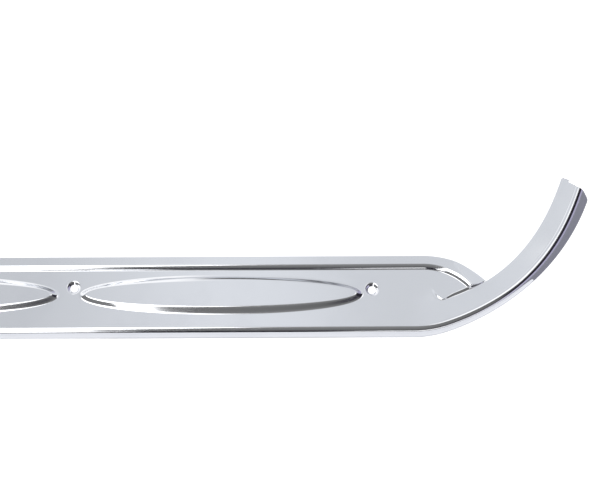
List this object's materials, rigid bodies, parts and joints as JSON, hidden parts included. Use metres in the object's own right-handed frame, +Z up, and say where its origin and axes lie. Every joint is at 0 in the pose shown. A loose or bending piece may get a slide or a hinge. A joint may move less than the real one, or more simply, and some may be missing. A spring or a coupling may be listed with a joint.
{
  "type": "door sill plate",
  "caption": "Polished stainless door sill scuff plate: embossed oval treads, dimpled screw holes, rolled shoulder with a skirt, and a curved arm that follows the pillar.",
  "frame": {"origin": "midway between the two end screw holes, level with the upper rims of the holes at the bottom of their dimples", "axes": "+X along the plate towards the curved arm, +Y inboard across the plate, +Z up out of the tread"},
  "size_m": [0.8458, 0.1225, 0.0177],
  "materials": {
    "polished_stainless": "bright polished"
  },
  "bodies": {
    "root": {"sill_plate": "polished_stainless"}
  },
  "joints": []
}
